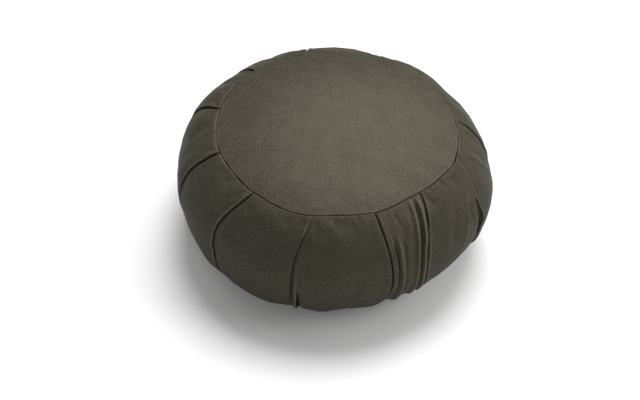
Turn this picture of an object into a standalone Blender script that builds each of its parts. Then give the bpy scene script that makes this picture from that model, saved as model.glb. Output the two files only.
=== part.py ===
"""A round pleated meditation cushion: a filled side band between two round panels, with a strap handle.

Metres, +Z up. The origin is on the floor under the middle of the cushion, and the handle faces -Y and +X.
Angles run round the cushion in degrees, anticlockwise seen from above, from +X.
A place on the side is an angle and a share of the way down it: 0 at the top seam, 1 at the bottom seam.
"""

import math

import bmesh
import bpy
import numpy as np

MM = 0.001

# The cushion's outer form.
BELLY_RADIUS = 163.5 * MM
BELLY_HEIGHT = 67 * MM
SEAM_RADIUS = 124.5 * MM
SEAM_HEIGHT = 128 * MM
CROWN = 12 * MM
FOOT_RADIUS = 125.5 * MM
FOOT_HEIGHT = 4 * MM
FLAT_RADIUS = 108 * MM
SHOULDER_POWER = 1.27
FOOT_POWER = 1.04
TURN_UP_POWER = 1.5
PROFILE_STEPS = 80

# Cloth, and the room between two pieces that touch.
PANEL_CLOTH = 2 * MM
STRAP_CLOTH = 2.5 * MM
STRAP_END_CLOTH = 1.5 * MM
GAP = 0.3 * MM
SEAM_SINK = 1 * MM
STRAP_CLEARANCE = 0.8 * MM
PUFF = 2.5 * MM
PLEAT_DEPTH = 3 * MM
TROUGH_DEPTH = 4 * MM
TROUGH_END_DEPTH = 2.1 * MM

# Each pleat: its angle at the top seam, how far it leans at the belly and at the foot, and the side its lip
# faces, 1 for anticlockwise. The two edges of the strap stand where two more pleats would.
PLEATS = (
    # seam, belly, foot, lip
    (-159.5, -5.0, -4.0, 1),
    (-128.5, -7.5, -6.5, 1),
    (-98.0, -5.0, -4.0, 1),
    (-16.5, -4.0, -2.0, -1),
    (12.5, -2.5, -1.0, 1),
    (38.0, -3.0, -1.5, 1),
    (72.0, -4.0, -3.0, 1),
    (104.5, -5.0, -4.0, 1),
    (136.0, -5.5, -4.5, 1),
    (168.5, -7.0, -5.0, 1),
)

# The strap: the angle of its middle, half its width as an angle, and how the belly gathers and leans it.
STRAP_MIDDLE = -57.0
STRAP_HALF_WIDTH = 12.5
STRAP_GATHER = 5.8
GATHER_POWER = 1.2
STRAP_LEAN = 2.3

# The strap's long folds: where each stands across it, from 0 at the left edge to 1, its height, its half
# width as a part of the strap's, and the shares of the way down between which it runs.
STRAP_FOLDS = (
    # across, height, half width, starts, ends
    (0.00, 1.2 * MM, 0.09, -0.10, 1.10),
    (0.25, 1.8 * MM, 0.10, 0.12, 0.85),
    (0.68, 2.0 * MM, 0.10, -0.05, 1.05),
    (0.85, 1.7 * MM, 0.07, -0.05, 1.05),
    (1.00, 2.0 * MM, 0.06, -0.10, 1.10),
)

# How far the hand-sewn top seam strays from a circle.
SEAM_STRAY = (
    # angle, outwards
    (-166, 0.0 * MM),
    (-148, -1.2 * MM),
    (-129, 1.2 * MM),
    (-106, 4.2 * MM),
    (-84, -1.2 * MM),
    (-70, -0.5 * MM),
    (-50, -4.8 * MM),
    (-32, -1.4 * MM),
    (-14, 2.7 * MM),
    (12, 0.3 * MM),
    (60, 0.0 * MM),
    (105, 0.7 * MM),
    (150, -0.6 * MM),
    (178, -1.6 * MM),
)

# How far the fill pushes each stretch of the side out or leaves it slack.
FILL_STRAY = (
    # angle, shoulder, belly, foot
    (-178, 0.0 * MM, -2.2 * MM, 0.0 * MM),
    (-165, 0.0 * MM, -0.3 * MM, 0.5 * MM),
    (-152, 0.0 * MM, -1.0 * MM, 0.0 * MM),
    (-136, 0.0 * MM, 0.5 * MM, 2.5 * MM),
    (-112, 0.5 * MM, 1.0 * MM, 4.0 * MM),
    (-96, 0.0 * MM, 0.5 * MM, 2.2 * MM),
    (-78, 0.0 * MM, 0.0 * MM, -3.0 * MM),
    (-57, -1.0 * MM, -1.0 * MM, -3.5 * MM),
    (-28, 0.0 * MM, -0.5 * MM, -7.5 * MM),
    (-17, 0.5 * MM, 1.5 * MM, 2.0 * MM),
    (-6, 0.5 * MM, 0.8 * MM, 0.0 * MM),
    (12, 0.0 * MM, -1.0 * MM, 0.0 * MM),
    (30, -2.8 * MM, -0.5 * MM, 0.0 * MM),
    (53, 0.0 * MM, 0.0 * MM, 0.0 * MM),
    (73, -2.2 * MM, 0.0 * MM, 0.0 * MM),
    (98, 1.2 * MM, 0.5 * MM, 0.0 * MM),
    (122, -1.0 * MM, 0.0 * MM, 0.0 * MM),
    (146, -0.8 * MM, 0.0 * MM, 0.0 * MM),
    (163, 3.2 * MM, 0.8 * MM, 0.0 * MM),
)
SHOULDER_SHARE = 0.18
BELLY_SHARE = 0.46
FOOT_SHARE = 0.80

# The shares of the way down over which each of these comes in or fades out, and a few that go with them.
STRAY_REACH = 0.26
SEAM_STRAY_REACH = 0.30
LEAN_SHARE = 0.40
LEAN_POWER = 1.3
PUFF_REACH = 0.35
RISE_REACH = 0.10
STRAP_REACH = 0.12
PLEAT_REACH = 0.08
PLEAT_END_PART = 0.3

# A pleat from its over-layer to its under-layer: how far across, its rise, and its part of the depth.
PLEAT_SECTION = (
    # across, rise, sink
    (-9.0 * MM, 0.8 * MM, 0.0),
    (-3.0 * MM, 1.3 * MM, 0.0),
    (-0.4 * MM, 0.9 * MM, 0.1),
    (0.5 * MM, 0.0 * MM, 1.0),
    (3.0 * MM, 0.0 * MM, 0.6),
    (9.0 * MM, 0.0 * MM, 0.1),
)
# The band beside the strap, from the panel to the trough that the strap lies in.
TROUGH_SECTION = (
    # across, rise, sink
    (-9.0 * MM, 0.6 * MM, 0.0),
    (-3.5 * MM, 1.0 * MM, 0.0),
    (-1.4 * MM, 0.5 * MM, 0.2),
    (-0.6 * MM, 0.0 * MM, 1.0),
    (4.0 * MM, 0.0 * MM, 1.0),
)

# The rows of the band down its side, and the rings of the round panels from their middle.
SIDE_SHARES = (
    *(0.0, 0.014, 0.05, 0.11, 0.18, 0.25, 0.32, 0.39, 0.46),
    *(0.53, 0.60, 0.68, 0.76, 0.84, 0.91, 0.96, 0.986, 1.0),
)
PANEL_SHARES = (0.28, 0.52, 0.74, 0.90, 0.975, 1.0)
COLUMNS_A_PANEL = 6
COLUMNS_UNDER_STRAP = 4
PANEL_COLUMNS = 72
STRAP_ROWS = 20
STRAP_COLUMNS = 20
STRAP_END_SHARE = 0.006

TWILL = (0.060, 0.055, 0.044)
TWILL_ROUGHNESS = 0.92
SHARP_DEGREES = 50


def ring_value(rows, column, degrees):
    """The value of one column of a table whose rows stand round the cushion, eased from row to row."""
    angles = np.array([row[0] for row in rows], float)
    values = np.array([row[column] for row in rows], float)
    order = np.argsort(angles)
    angles = angles[order]
    values = values[order]
    angles = np.concatenate([angles, angles[:1] + 360])
    values = np.concatenate([values, values[:1]])
    turned = (np.asarray(degrees, float) - angles[0]) % 360 + angles[0]
    index = np.clip(np.searchsorted(angles, turned, side="right") - 1, 0, len(angles) - 2)
    along = (turned - angles[index]) / (angles[index + 1] - angles[index])
    eased = (1 - np.cos(math.pi * along)) / 2
    return values[index] + (values[index + 1] - values[index]) * eased


def side_profile():
    """The round side, top seam to foot: share, radius, height, and the outward direction's two parts."""
    turn = np.linspace(0, math.pi / 2, PROFILE_STEPS)
    shoulder_r = SEAM_RADIUS + (BELLY_RADIUS - SEAM_RADIUS) * np.sin(turn) ** SHOULDER_POWER
    shoulder_z = BELLY_HEIGHT + (SEAM_HEIGHT - BELLY_HEIGHT) * np.cos(turn) ** SHOULDER_POWER
    foot_r = FOOT_RADIUS + (BELLY_RADIUS - FOOT_RADIUS) * np.cos(turn) ** FOOT_POWER
    foot_z = BELLY_HEIGHT - (BELLY_HEIGHT - FOOT_HEIGHT) * np.sin(turn) ** FOOT_POWER
    radius = np.concatenate([shoulder_r, foot_r[1:]])
    height = np.concatenate([shoulder_z, foot_z[1:]])
    steps = np.hypot(np.diff(radius), np.diff(height))
    share = np.concatenate([[0], np.cumsum(steps)]) / steps.sum()
    along_r = np.gradient(radius, share)
    along_z = np.gradient(height, share)
    length = np.hypot(along_r, along_z)
    return share, radius, height, -along_z / length, along_r / length


PROFILE = side_profile()


def bump(share, middle):
    """1 at the middle share, easing to 0 at the stray's reach on each side."""
    return np.cos(math.pi / 2 * np.clip(np.abs(share - middle) / STRAY_REACH, 0, 1)) ** 2


def end_fade(share, reach):
    """0 at both seams, rising to 1 within the reach."""
    near = np.minimum(share, 1 - share)
    return np.sin(math.pi / 2 * np.clip(near / reach, 0, 1))


def trough_depth(share):
    """How deep the strap lies in the side: just its own thickness where it enters the seams."""
    return TROUGH_END_DEPTH + (TROUGH_DEPTH - TROUGH_END_DEPTH) * end_fade(share, STRAP_REACH)


def strap_edge(share, side):
    """The angle of the strap's edge: side is -1 for the left one and 1 for the right one."""
    slack = math.sin(math.pi * share)
    half_width = STRAP_HALF_WIDTH - STRAP_GATHER * slack**GATHER_POWER
    return STRAP_MIDDLE - STRAP_LEAN * slack + side * half_width


def side_point(share, degrees, lift):
    """The point on the side at a share and an angle, lifted off the round form by the given height."""
    radius = np.interp(share, PROFILE[0], PROFILE[1])
    height = np.interp(share, PROFILE[0], PROFILE[2])
    out_r = np.interp(share, PROFILE[0], PROFILE[3])
    out_z = np.interp(share, PROFILE[0], PROFILE[4])
    radius = radius + ring_value(SEAM_STRAY, 1, degrees) * max(0.0, 1 - share / SEAM_STRAY_REACH) ** 2
    for column, middle in ((1, SHOULDER_SHARE), (2, BELLY_SHARE), (3, FOOT_SHARE)):
        radius = radius + ring_value(FILL_STRAY, column, degrees) * bump(share, middle)
    radius = radius + out_r * lift
    height = height + out_z * lift
    return round_points(radius, height, degrees)


def pleat_angle(row, share):
    """A pleat leans over towards the belly and comes partly back at the foot."""
    seam, belly, foot, _ = row
    if share < LEAN_SHARE:
        return seam + belly * math.sin(math.pi / 2 * share / LEAN_SHARE) ** LEAN_POWER
    down = (share - LEAN_SHARE) / (1 - LEAN_SHARE)
    return seam + foot + (belly - foot) * math.cos(math.pi / 2 * down) ** 2


def pleat_depth(share):
    """A pleat is held nearly flat in both seams."""
    return PLEAT_DEPTH * (PLEAT_END_PART + (1 - PLEAT_END_PART) * end_fade(share, PLEAT_REACH))


def mirrored(section):
    """The same section, facing the other way round."""
    return tuple((-across, rise, sink) for across, rise, sink in reversed(section))


def fold_lines():
    """Every line that the band bends along: angle by share, section, depth by share, if the strap follows."""
    lines = []
    for row in PLEATS:
        section = PLEAT_SECTION if row[3] > 0 else mirrored(PLEAT_SECTION)
        lines.append((lambda share, row=row: pleat_angle(row, share), section, pleat_depth, False))
    lines.append((lambda share: strap_edge(share, -1), TROUGH_SECTION, trough_depth, True))
    lines.append((lambda share: strap_edge(share, 1), mirrored(TROUGH_SECTION), trough_depth, False))
    return sorted(lines, key=lambda line: line[0](0.0))


def side_row(share):
    """One closed row of the band: the angle and the lift of each of its columns."""
    lines = fold_lines()
    radius = float(np.interp(share, PROFILE[0], PROFILE[1]))
    rise_fade = end_fade(share, RISE_REACH)
    angles, lifts = [], []
    for index, (angle, section, depth, opens_strap) in enumerate(lines):
        for across, rise, sink in section:
            angles.append(angle(share) + math.degrees(across / radius))
            lifts.append(rise * rise_fade - sink * depth(share))
        following = lines[(index + 1) % len(lines)]
        next_angle = following[0](share) + (360 if index + 1 == len(lines) else 0)
        next_across, next_rise, next_sink = following[1][0]
        start = (angles[-1], lifts[-1])
        end_angle = next_angle + math.degrees(next_across / radius)
        end_lift = next_rise * rise_fade - next_sink * following[2](share)
        count = COLUMNS_UNDER_STRAP if opens_strap else COLUMNS_A_PANEL
        puff = 0.0 if opens_strap else PUFF * end_fade(share, PUFF_REACH)
        for step in range(1, count + 1):
            along = step / (count + 1)
            angles.append(start[0] + (end_angle - start[0]) * along)
            lifts.append(start[1] + (end_lift - start[1]) * along + puff * math.sin(math.pi * along))
    return np.array(angles), np.array(lifts)


def seam_radius(degrees):
    """The radius of the top seam at each angle."""
    return SEAM_RADIUS + ring_value(SEAM_STRAY, 1, degrees)


def round_points(radius, height, degrees):
    """Points at a radius and a height, one for each angle."""
    turn = np.radians(degrees)
    return np.stack([radius * np.cos(turn), radius * np.sin(turn), height + 0 * turn], -1)


def top_rings(degrees, drop, rim_clearance):
    """Rings of the crowned top from near the middle to the seam, dropped below the cloth's upper face."""
    rings = []
    for share in PANEL_SHARES:
        radius = share * seam_radius(degrees)
        height = SEAM_HEIGHT + CROWN * (1 - share**2) - drop
        if share == 1.0:
            radius = radius + rim_clearance
            height = SEAM_HEIGHT - SEAM_SINK - drop
        rings.append(round_points(radius, height, degrees))
    return rings


def bottom_rings(degrees, lift, rim_clearance):
    """Rings of the bottom from near the middle to the foot seam: flat, then turned up to the seam."""
    rings = []
    for radius in (FLAT_RADIUS / 2, FLAT_RADIUS, (FLAT_RADIUS + FOOT_RADIUS) / 2, FOOT_RADIUS):
        along = max(0.0, radius - FLAT_RADIUS) / (FOOT_RADIUS - FLAT_RADIUS)
        height = (FOOT_HEIGHT + SEAM_SINK) * along**TURN_UP_POWER + lift
        clearance = rim_clearance if radius == FOOT_RADIUS else 0.0
        rings.append(round_points(radius + clearance, height, degrees))
    return rings


def add_object(name, surface, material):
    """Puts a finished surface in the scene as one named object, shaded smooth but for its cut edges."""
    bmesh.ops.recalc_face_normals(surface, faces=surface.faces)
    mesh = bpy.data.meshes.new(name)
    surface.to_mesh(mesh)
    surface.free()
    mesh.shade_smooth()
    mesh.set_sharp_from_angle(angle=math.radians(SHARP_DEGREES))
    mesh.materials.append(material)
    bpy.context.scene.collection.objects.link(bpy.data.objects.new(name, mesh))


def join_rows(surface, first, second, closed):
    """Faces between two rows of vertices, which go once round if closed."""
    count = len(first)
    for column in range(count if closed else count - 1):
        beside = (column + 1) % count
        surface.faces.new((first[column], second[column], second[beside], first[beside]))


def turned_body(name, rings, top_middle, bottom_middle, material):
    """A closed body from rings that run from its top middle, over its outside, to its bottom middle."""
    surface = bmesh.new()
    rows = [[surface.verts.new(point) for point in ring] for ring in rings]
    for upper, lower in zip(rows, rows[1:]):
        join_rows(surface, upper, lower, closed=True)
    for middle, row in ((top_middle, rows[0]), (bottom_middle, rows[-1])):
        centre = surface.verts.new(middle)
        for vertex, beside in zip(row, row[1:] + row[:1]):
            surface.faces.new((centre, vertex, beside))
    add_object(name, surface, material)


def sheet_body(name, outer, inner, material):
    """A closed sheet from the rows of its outer face and the rows of its inner face."""
    surface = bmesh.new()
    outer = [[surface.verts.new(point) for point in row] for row in outer]
    inner = [[surface.verts.new(point) for point in row] for row in inner]
    for face in (outer, inner):
        for upper, lower in zip(face, face[1:]):
            join_rows(surface, upper, lower, closed=False)
    for row in (0, -1):
        join_rows(surface, outer[row], inner[row], closed=False)
    for column in (0, -1):
        join_rows(surface, [row[column] for row in outer], [row[column] for row in inner], closed=False)
    add_object(name, surface, material)


def build_band(material):
    """The filled band: under the top panel, down the pleated side and over the bottom panel."""
    rim_angles = side_row(0.0)[0]
    rings = top_rings(rim_angles, PANEL_CLOTH + GAP, GAP / 2)
    for share in SIDE_SHARES:
        angles, lifts = side_row(share)
        points = side_point(share, angles, lifts)
        if share == 0.0:
            points = round_points(seam_radius(angles) + GAP / 2, SEAM_HEIGHT - SEAM_SINK + lifts, angles)
        if share == 1.0:
            points = round_points(FOOT_RADIUS + GAP / 2, FOOT_HEIGHT + SEAM_SINK - lifts, angles)
        rings.append(points)
    foot_angles = side_row(1.0)[0]
    rings += reversed(bottom_rings(foot_angles, PANEL_CLOTH + GAP, GAP / 2))
    top_middle = (0, 0, SEAM_HEIGHT + CROWN - PANEL_CLOTH - GAP)
    bottom_middle = (0, 0, PANEL_CLOTH + GAP)
    turned_body("pleated_band", rings, top_middle, bottom_middle, material)


def build_top_panel(material):
    """The round top, a sheet let in at the seam."""
    degrees = np.arange(PANEL_COLUMNS) * 360 / PANEL_COLUMNS
    rings = top_rings(degrees, 0.0, -GAP / 2)
    rings += reversed(top_rings(degrees, PANEL_CLOTH, -GAP / 2))
    middle = SEAM_HEIGHT + CROWN
    turned_body("top_panel", rings, (0, 0, middle), (0, 0, middle - PANEL_CLOTH), material)


def build_bottom_panel(material):
    """The round bottom, a sheet that lies flat on the floor and turns up to the seam."""
    degrees = np.arange(PANEL_COLUMNS) * 360 / PANEL_COLUMNS
    rings = bottom_rings(degrees, PANEL_CLOTH, -GAP / 2)
    rings += reversed(bottom_rings(degrees, 0.0, -GAP / 2))
    turned_body("bottom_panel", rings, (0, 0, PANEL_CLOTH), (0, 0, 0), material)


def strap_fold(share, across):
    """How high the strap's folds stand at a place on it."""
    height = 0.0
    for middle, tall, half_width, starts, ends in STRAP_FOLDS:
        grown = np.clip(min(share - starts, ends - share) / STRAP_REACH, 0, 1)
        near = np.clip(abs(across - middle) / half_width, 0, 1)
        height = max(height, tall * grown * (1 + math.cos(math.pi * near)) / 2)
    return height * end_fade(share, STRAP_REACH)


def build_handle(material):
    """The strap, as a sheet over the trough: an outer and an inner face joined round the edge."""
    outer, inner = [], []
    for row in range(STRAP_ROWS + 1):
        share = STRAP_END_SHARE + (1 - 2 * STRAP_END_SHARE) * row / STRAP_ROWS
        fade = end_fade(share, STRAP_REACH)
        cloth = STRAP_END_CLOTH + (STRAP_CLOTH - STRAP_END_CLOTH) * fade
        clearance = GAP + (STRAP_CLEARANCE - GAP) * fade
        left, right = strap_edge(share, -1), strap_edge(share, 1)
        across = np.arange(STRAP_COLUMNS + 1) / STRAP_COLUMNS
        degrees = left + (right - left) * across
        lift = np.array([strap_fold(share, part) for part in across]) + clearance - trough_depth(share)
        outer.append(side_point(share, degrees, lift + cloth))
        inner.append(side_point(share, degrees, lift))
    sheet_body("carry_handle", outer, inner, material)


def twill(name, shade):
    """Plain cotton twill, a shade lighter or darker from piece to piece."""
    material = bpy.data.materials.new(name)
    material.use_nodes = True
    shader = material.node_tree.nodes["Principled BSDF"]
    colour = tuple(channel * shade for channel in TWILL)
    shader.inputs["Base Color"].default_value = (*colour, 1)
    shader.inputs["Roughness"].default_value = TWILL_ROUGHNESS
    shader.inputs["Metallic"].default_value = 0
    material.diffuse_color = (*colour, 1)
    return material


def main():
    for left_over in list(bpy.data.objects):
        bpy.data.objects.remove(left_over, do_unlink=True)
    build_band(twill("band_twill", 0.95))
    build_top_panel(twill("top_twill", 1.1))
    build_bottom_panel(twill("bottom_twill", 1.0))
    build_handle(twill("handle_twill", 0.9))


main()
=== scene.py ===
# %% [markdown]
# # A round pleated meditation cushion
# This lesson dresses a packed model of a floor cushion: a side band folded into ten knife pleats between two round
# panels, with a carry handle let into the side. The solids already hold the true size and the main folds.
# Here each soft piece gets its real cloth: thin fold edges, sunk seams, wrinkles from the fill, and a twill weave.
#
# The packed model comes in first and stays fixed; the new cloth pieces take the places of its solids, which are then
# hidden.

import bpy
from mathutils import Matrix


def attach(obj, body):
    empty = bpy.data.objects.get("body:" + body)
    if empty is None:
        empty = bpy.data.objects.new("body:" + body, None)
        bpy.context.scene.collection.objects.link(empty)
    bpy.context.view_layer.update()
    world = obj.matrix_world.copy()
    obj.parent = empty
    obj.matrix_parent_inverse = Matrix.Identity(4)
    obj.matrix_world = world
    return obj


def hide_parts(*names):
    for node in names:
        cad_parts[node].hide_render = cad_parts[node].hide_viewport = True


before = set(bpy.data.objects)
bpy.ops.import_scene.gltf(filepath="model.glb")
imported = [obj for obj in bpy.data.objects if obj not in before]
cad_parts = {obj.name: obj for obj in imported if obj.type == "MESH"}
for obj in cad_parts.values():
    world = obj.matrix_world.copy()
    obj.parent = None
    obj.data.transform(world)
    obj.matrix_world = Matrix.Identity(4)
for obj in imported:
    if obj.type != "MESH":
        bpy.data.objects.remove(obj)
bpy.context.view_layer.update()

# %% [markdown]
# The sizes below are the ones that the solids are made from, in metres. A place on the side is told by an angle
# round the cushion and a share of the way down it: 0 at the top seam and 1 at the bottom seam. Working in angle and
# share, as a tailor works on the flat strip, keeps every fold easy to place.

# %% Sizes of the cushion
import math

import bpy
import numpy as np
from mathutils import Matrix, Vector

MM = 0.001
BELLY_RADIUS = 163.5 * MM
BELLY_HEIGHT = 67 * MM
SEAM_RADIUS = 124.5 * MM
SEAM_HEIGHT = 128 * MM
CROWN = 12 * MM
FOOT_RADIUS = 125.5 * MM
FOOT_HEIGHT = 4 * MM
FLAT_RADIUS = 108 * MM
SHOULDER_POWER = 1.27
FOOT_POWER = 1.04
TURN_UP_POWER = 1.5
PANEL_CLOTH = 2 * MM
GAP = 0.3 * MM
print("belly", 2 * BELLY_RADIUS, "m across; top panel", 2 * SEAM_RADIUS, "m across")

# %% [markdown]
# The camera repeats the photograph's: a long lens, two metres away, looking down by 44 degrees, with the picture
# turned by three degrees. It could be aimed at the middle of the cushion and shifted, but turning it towards a point
# beside the middle frames the picture in the same way and keeps the views from other sides centred.

# %% The camera
BODY_MIDDLE = Vector((0, 0, 63.5 * MM))
CAMERA_DISTANCE = 1.98
CAMERA_ELEVATION = 43.79
CAMERA_ROLL = 2.99
CAMERA_LENS = 105.9
AIM_LEFT = 12.9 * MM
AIM_DOWN = 26.8 * MM


def add_camera():
    elevation = math.radians(CAMERA_ELEVATION)
    back = Vector((0, -math.cos(elevation), math.sin(elevation)))
    up = Vector((0, math.sin(elevation), math.cos(elevation)))
    place = BODY_MIDDLE + back * CAMERA_DISTANCE
    aim = BODY_MIDDLE - Vector((AIM_LEFT, 0, 0)) - up * AIM_DOWN
    camera = bpy.data.objects.new("camera", bpy.data.cameras.new("camera"))
    bpy.context.scene.collection.objects.link(camera)
    camera.data.lens = CAMERA_LENS
    turn = (aim - place).to_track_quat("-Z", "Y").to_matrix().to_4x4()
    roll = Matrix.Rotation(math.radians(CAMERA_ROLL), 4, "Z")
    camera.matrix_world = Matrix.Translation(place) @ turn @ roll
    bpy.context.scene.camera = camera
    print("camera at", [round(part, 3) for part in place])


add_camera()

# %% [markdown]
# The cushion stands on a white sweep, and its shadow falls forwards and a little to the left, so the main light is
# behind it and to the right. Area lamps would light the floor unevenly. Sun lamps with a very wide disc are as soft
# as a studio's big boxes and keep the floor even from every side, so each box here is such a sun: its direction, how
# high it hangs, and its strength.

# %% Floor and light
FLOOR_HALF = 40.0
FLOOR_SHADE = 0.84
FLOOR_ROUGHNESS = 0.9
SOFTNESS = 36.0
LAMP_DISTANCE = 1.5
LIGHTS = (
    # name, degrees round, degrees high, strength
    ("back_box", 80.0, 55.0, 3.2),
    ("back_left_box", 135.0, 50.0, 0.42),
    ("right_box", 42.0, 30.0, 0.95),
    ("right_low_box", 5.0, 28.0, 1.25),
    ("front_fill", 275.0, 28.0, 0.72),
    ("left_fill", 190.0, 35.0, 0.22),
)
ROOM_LIGHT = 0.12


def add_floor():
    mesh = bpy.data.meshes.new("floor")
    corners = [(-1, -1), (1, -1), (1, 1), (-1, 1)]
    mesh.from_pydata([(x * FLOOR_HALF, y * FLOOR_HALF, 0) for x, y in corners], [], [(0, 1, 2, 3)])
    floor = bpy.data.objects.new("floor", mesh)
    bpy.context.scene.collection.objects.link(floor)
    paper = bpy.data.materials.new("white_floor")
    paper.use_nodes = True
    shader = paper.node_tree.nodes["Principled BSDF"]
    shader.inputs["Base Color"].default_value = (FLOOR_SHADE, FLOOR_SHADE, FLOOR_SHADE, 1)
    shader.inputs["Roughness"].default_value = FLOOR_ROUGHNESS
    shader.inputs["Specular IOR Level"].default_value = 0.0
    mesh.materials.append(paper)


def add_lights():
    for name, around, high, strength in LIGHTS:
        lamp = bpy.data.lights.new(name, "SUN")
        lamp.angle = math.radians(SOFTNESS)
        lamp.energy = strength
        light = bpy.data.objects.new(name, lamp)
        turn, rise = math.radians(around), math.radians(high)
        towards = Vector((math.cos(turn) * math.cos(rise), math.sin(turn) * math.cos(rise), math.sin(rise)))
        light.location = BODY_MIDDLE + towards * LAMP_DISTANCE
        light.rotation_euler = (-towards).to_track_quat("-Z", "Y").to_euler()
        bpy.context.scene.collection.objects.link(light)
    world = bpy.data.worlds.new("white_room")
    world.use_nodes = True
    background = world.node_tree.nodes["Background"]
    background.inputs["Color"].default_value = (1, 1, 1, 1)
    background.inputs["Strength"].default_value = ROOM_LIGHT
    bpy.context.scene.world = world


add_floor()
add_lights()
bpy.context.scene.view_settings.view_transform = "Standard"
print(len(LIGHTS), "lights")

# %% [markdown]
# Hand sewing is never quite round. Noise could make the outline uneven, but not in the places where the real one is.
# So two short tables say how far the seam strays from a circle and how far the fill pushes out each stretch of the
# side, and a reader function eases from row to row all the way round.

# %% Tables that run round the cushion
SEAM_STRAY = (
    # angle, how far outwards in mm
    (-166, 0), (-148, -1.2), (-129, 1.2), (-106, 4.2), (-84, -1.2), (-70, -0.5), (-50, -4.8), (-32, -1.4),
    (-16, 2.3), (-6, 1.2), (12, 0.3), (60, 0), (105, 0.7), (150, -0.6), (178, -1.6),
)
FILL_STRAY = (
    # angle, and how far outwards in mm at the shoulder, at the belly and at the foot
    (-178, 0, -2.2, 0), (-165, 0, -0.3, 0.5), (-152, 0, -1, 0), (-136, 0, 0.5, 2.5), (-112, 0.5, 1, 4),
    (-96, 0, 0.5, 2.2), (-78, 0, 0, -3), (-57, -1, -1, -3.5), (-28, 0, -0.5, -7.5), (-17, 0.5, 2.2, 5.5),
    (-6, 0.5, 1.6, 3.5), (12, 0, -1, 0), (30, -2.8, -0.5, 0), (53, 0, 0, 0), (73, -2.2, 0, 0),
    (98, 1.2, 0.5, 0), (122, -1, 0, 0), (146, -0.8, 0, 0), (163, 3.2, 0.8, 0),
)


def ring_value(rows, column, degrees):
    """The lengths in one column of a table whose rows stand round the cushion, eased from row to row."""
    rows = sorted(rows)
    angles = np.array([row[0] for row in rows] + [rows[0][0] + 360], float)
    values = np.array([row[column] for row in rows] + [rows[0][column]]) * MM
    turned = (np.asarray(degrees, float) - angles[0]) % 360 + angles[0]
    index = np.clip(np.searchsorted(angles, turned, side="right") - 1, 0, len(angles) - 2)
    along = (turned - angles[index]) / (angles[index + 1] - angles[index])
    return values[index] + (values[index + 1] - values[index]) * (1 - np.cos(math.pi * along)) / 2


def sewn_radius(degrees):
    """The radius of the seam as it was sewn by hand."""
    return SEAM_RADIUS + ring_value(SEAM_STRAY, 1, degrees)


print("the seam strays by", min(row[1] for row in SEAM_STRAY), "to", max(row[1] for row in SEAM_STRAY), "mm")

# %% [markdown]
# Seen from the side, a filled cushion has a tight shoulder, a round belly and a foot that rolls under. A drawn curve
# could give that outline. Two quarter arcs, one above the belly and one below, with their powers tuned by eye, give
# it in a few numbers that can be changed one at a time.

# %% The round side
PROFILE_STEPS = 400
SHOULDER_SHARE = 0.18
BELLY_SHARE = 0.46
FOOT_SHARE = 0.80
STRAY_REACH = 0.26
SEAM_STRAY_REACH = 0.30


def running(steps):
    """How far along each point lies, from the steps between the points."""
    return np.concatenate([[0], np.cumsum(steps)])


def side_profile():
    """The side from seam to foot: share, radius, height, the two parts of the outward direction, and its length."""
    turn = np.linspace(0, math.pi / 2, PROFILE_STEPS)
    shoulder_r = SEAM_RADIUS + (BELLY_RADIUS - SEAM_RADIUS) * np.sin(turn) ** SHOULDER_POWER
    shoulder_z = BELLY_HEIGHT + (SEAM_HEIGHT - BELLY_HEIGHT) * np.cos(turn) ** SHOULDER_POWER
    foot_r = FOOT_RADIUS + (BELLY_RADIUS - FOOT_RADIUS) * np.cos(turn) ** FOOT_POWER
    foot_z = BELLY_HEIGHT - (BELLY_HEIGHT - FOOT_HEIGHT) * np.sin(turn) ** FOOT_POWER
    radius = np.concatenate([shoulder_r, foot_r[1:]])
    height = np.concatenate([shoulder_z, foot_z[1:]])
    steps = np.hypot(np.diff(radius), np.diff(height))
    share = running(steps) / steps.sum()
    along_r = np.gradient(radius, share)
    along_z = np.gradient(height, share)
    length = np.hypot(along_r, along_z)
    return share, radius, height, -along_z / length, along_r / length, steps.sum()


*PROFILE, SIDE_LENGTH = side_profile()


def round_points(radius, height, degrees):
    """Points at angles round the middle, at their radii and heights."""
    turn = np.radians(degrees)
    return np.stack([radius * np.cos(turn), radius * np.sin(turn), height + 0 * turn], -1)


def side_radius(share):
    return np.interp(share, PROFILE[0], PROFILE[1])


def side_point(share, degrees, lift):
    """Points on the side at their shares and angles, each lifted off the round form by its own height."""
    radius, height, out_r, out_z = (np.interp(share, PROFILE[0], part) for part in PROFILE[1:])
    radius = radius + ring_value(SEAM_STRAY, 1, degrees) * np.clip(1 - share / SEAM_STRAY_REACH, 0, 1) ** 2
    for column, middle in ((1, SHOULDER_SHARE), (2, BELLY_SHARE), (3, FOOT_SHARE)):
        near = np.cos(math.pi / 2 * np.clip(np.abs(share - middle) / STRAY_REACH, 0, 1)) ** 2
        radius = radius + ring_value(FILL_STRAY, column, degrees) * near
    return round_points(radius + out_r * lift, height + out_z * lift, degrees)


print("the side is", round(SIDE_LENGTH, 4), "m from seam to seam")

# %% [markdown]
# Ten pleats run from seam to seam. None is straight: the fill pushes each one over as it goes down the side, most
# near the belly, and it comes partly back at the foot. Curves drawn by hand would do, but a row of a table for each
# pleat, with where it starts, how far it leans and how far it stands open, is easier to set against the real ones.

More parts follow.
